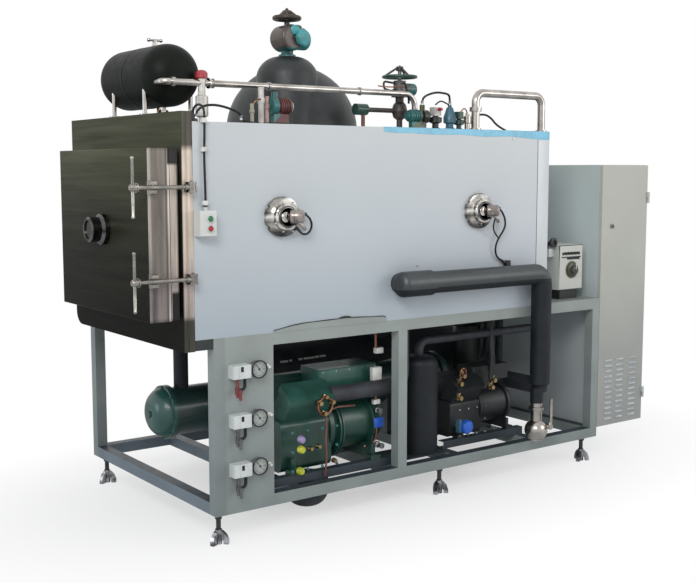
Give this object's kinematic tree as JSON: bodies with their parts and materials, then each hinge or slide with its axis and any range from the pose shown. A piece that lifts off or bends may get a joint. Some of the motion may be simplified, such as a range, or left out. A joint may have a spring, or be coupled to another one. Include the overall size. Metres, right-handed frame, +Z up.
{
  "type": "vacuum freeze dryer",
  "caption": "Pilot vacuum freeze dryer: insulated chamber with a clamped side door on an open machine frame, roof valves and piping, gauges and an end control cabinet.",
  "frame": {"origin": "underside of the front left levelling foot, on the floor, under the middle of the frame's front left post", "axes": "+X along the long front side towards the cabinet, +Y from the front towards the back, +Z up"},
  "size_m": [2.984, 1.3582, 2.246],
  "materials": {
    "frame_paint": "satin grey-green paint",
    "foot_chrome": "polished",
    "flange_steel": "dark polished stainless",
    "black_foam": "matt elastomer foam",
    "white_panel": "satin off-white paint",
    "shelf_steel": "brushed",
    "seal_rubber": "matt",
    "door_steel": "polished stainless",
    "port_steel": "turned",
    "port_glass": "thick sight glass",
    "clamp_steel": "polished",
    "black_plastic": "moulded",
    "cable_black": "smooth jacket",
    "box_plastic": "moulded",
    "stainless": "polished tube",
    "condenser_paint": "gloss dark green paint",
    "condenser_cap": "gloss green paint",
    "tank_steel": "mirror polished stainless",
    "relief_body": "cast body",
    "hose_rubber": "smooth",
    "valve_iron": "enamelled casting",
    "wheel_iron": "brown enamel",
    "pump_paint": "maroon enamel",
    "coil_plastic": "moulded coil",
    "cabinet_side": "textured paint",
    "cabinet_front": "textured paint",
    "lock_chrome": "plated",
    "gear_plastic": "switchgear",
    "knob_plastic": "black dial",
    "machine_paint": "teal machinery enamel",
    "machine_paint_dark": "dark machinery enamel",
    "line_foam": "matt pipe lagging",
    "button_red": "moulded",
    "button_green": "moulded",
    "gauge_face": "printed dial in a steel case",
    "switch_plastic": "moulded case",
    "small_valve_metal": "plated",
    "handle_red": "dipped lever",
    "handle_grey": "dipped lever"
  },
  "bodies": {
    "machine": {"frame": "frame_paint", "levelling_feet": "foot_chrome", "gauge_panel": "frame_paint", "chamber_vessel": "flange_steel", "chamber_insulation": "black_foam", "chamber_cladding": "white_panel", "product_shelves": "shelf_steel", "door_gasket": "seal_rubber", "flange_brackets": "clamp_steel", "sight_ports": "port_steel", "port_glasses": "port_glass", "cable_glands": "black_plastic", "left_lamp_cable": "cable_black", "right_lamp_cable": "cable_black", "button_box": "box_plastic", "button_cable": "cable_black", "pipe_insulation": "black_foam", "drain_valve": "stainless", "condenser_shell": "condenser_paint", "condenser_covers": "condenser_cap", "expansion_tank": "tank_steel", "tank_stand": "stainless", "stainless_pipes": "stainless", "relief_valve": "relief_body", "relief_hose": "hose_rubber", "duct_insulation": "black_foam", "duct_valve": "valve_iron", "roof_pumps": "pump_paint", "globe_valve": "valve_iron", "solenoid_valves": "coil_plastic", "pump_hose": "hose_rubber", "cabinet_shell": "cabinet_side", "control_gear": "gear_plastic", "instrument_box": "cabinet_front", "left_compressor": "machine_paint", "right_compressor": "machine_paint_dark", "refrigerant_lines": "line_foam", "gauges": "gauge_face", "pressure_switches": "switch_plastic", "gauge_valves": "small_valve_metal"},
    "door": {"door": "door_steel", "door_port": "port_steel", "door_port_glass": "port_glass", "door_brackets": "clamp_steel"},
    "upper_bolt": {"upper_swing_bolt": "clamp_steel"},
    "lower_bolt": {"lower_swing_bolt": "clamp_steel"},
    "upper_nut": {"upper_t_handle": "clamp_steel"},
    "lower_nut": {"lower_t_handle": "clamp_steel"},
    "green_push": {"green_button": "button_green"},
    "red_push": {"red_button": "button_red"},
    "drain_handle": {"drain_lever": "stainless"},
    "filler_cap": {"tank_cap": "stainless"},
    "duct_wheel": {"duct_handwheel": "wheel_iron"},
    "globe_wheel": {"globe_handwheel": "wheel_iron"},
    "cabinet_leaf": {"cabinet_door": "cabinet_front"},
    "cabinet_key": {"cabinet_lock": "lock_chrome"},
    "dial": {"instrument_knob": "knob_plastic"},
    "top_handle": {"gauge_handle_top": "handle_red"},
    "middle_handle": {"gauge_handle_middle": "handle_grey"},
    "bottom_handle": {"gauge_handle_bottom": "handle_grey"}
  },
  "joints": [
    {"name": "door_hinge", "type": "hinge", "parent": "machine", "child": "door", "pos_m": [-0.195, 0.875, 1.26], "axis": [0, 0, -1], "range_deg": [0, 90]},
    {"name": "upper_bolt_swing", "type": "hinge", "parent": "machine", "child": "upper_bolt", "pos_m": [-0.125, -0.053, 1.436], "axis": [0, 0, 1], "range_deg": [0, 176]},
    {"name": "lower_bolt_swing", "type": "hinge", "parent": "machine", "child": "lower_bolt", "pos_m": [-0.125, -0.053, 1.085], "axis": [0, 0, 1], "range_deg": [0, 176]},
    {"name": "upper_nut_turn", "type": "hinge", "parent": "upper_bolt", "child": "upper_nut", "pos_m": [-0.365, -0.053, 1.436], "axis": [-1, 0, 0], "continuous": true},
    {"name": "lower_nut_turn", "type": "hinge", "parent": "lower_bolt", "child": "lower_nut", "pos_m": [-0.365, -0.053, 1.085], "axis": [-1, 0, 0], "continuous": true},
    {"name": "green_button_push", "type": "slide", "parent": "machine", "child": "green_push", "axis": [0, 1, 0], "range_m": [0, 0.004], "stiffness_N_per_m": 300, "springref_m": -0.002},
    {"name": "red_button_push", "type": "slide", "parent": "machine", "child": "red_push", "axis": [0, 1, 0], "range_m": [0, 0.004], "stiffness_N_per_m": 300, "springref_m": -0.002},
    {"name": "drain_lever_turn", "type": "hinge", "parent": "machine", "child": "drain_handle", "pos_m": [1.753, -0.156, 0.262], "axis": [0, 1, 0], "range_deg": [0, 90]},
    {"name": "filler_cap_turn", "type": "hinge", "parent": "machine", "child": "filler_cap", "pos_m": [0.005, 0.495, 2.024], "axis": [0, 0, 1], "continuous": true},
    {"name": "duct_wheel_turn", "type": "hinge", "parent": "machine", "child": "duct_wheel", "pos_m": [0.722, 0.578, 2.2], "axis": [0, 0, 1], "continuous": true},
    {"name": "globe_wheel_turn", "type": "hinge", "parent": "machine", "child": "globe_wheel", "pos_m": [1.175, 0.305, 1.936], "axis": [0, 0, 1], "continuous": true},
    {"name": "cabinet_door_hinge", "type": "hinge", "parent": "machine", "child": "cabinet_leaf", "pos_m": [2.598, -0.034, 0.85], "axis": [0, 0, 1], "range_deg": [0, 110]},
    {"name": "cabinet_lock_turn", "type": "hinge", "parent": "cabinet_leaf", "child": "cabinet_key", "pos_m": [2.318, -0.025, 1.213], "axis": [0, 1, 0], "range_deg": [0, 90]},
    {"name": "dial_turn", "type": "hinge", "parent": "machine", "child": "dial", "pos_m": [2.08944, 0.032, 0.996], "axis": [0, -1, 0], "range_deg": [-150, 150]},
    {"name": "top_valve_turn", "type": "hinge", "parent": "machine", "child": "top_handle", "pos_m": [0.067, -0.066, 0.625], "axis": [0, 1, 0], "range_deg": [0, 90]},
    {"name": "middle_valve_turn", "type": "hinge", "parent": "machine", "child": "middle_handle", "pos_m": [0.067, -0.066, 0.425], "axis": [0, 1, 0], "range_deg": [0, 90]},
    {"name": "bottom_valve_turn", "type": "hinge", "parent": "machine", "child": "bottom_handle", "pos_m": [0.067, -0.066, 0.225], "axis": [0, 1, 0], "range_deg": [0, 90]}
  ],
  "couplings": [
    {"joint": "upper_bolt_swing", "follows": "door_hinge", "ratio": 1.95},
    {"joint": "lower_bolt_swing", "follows": "door_hinge", "ratio": 1.95}
  ]
}
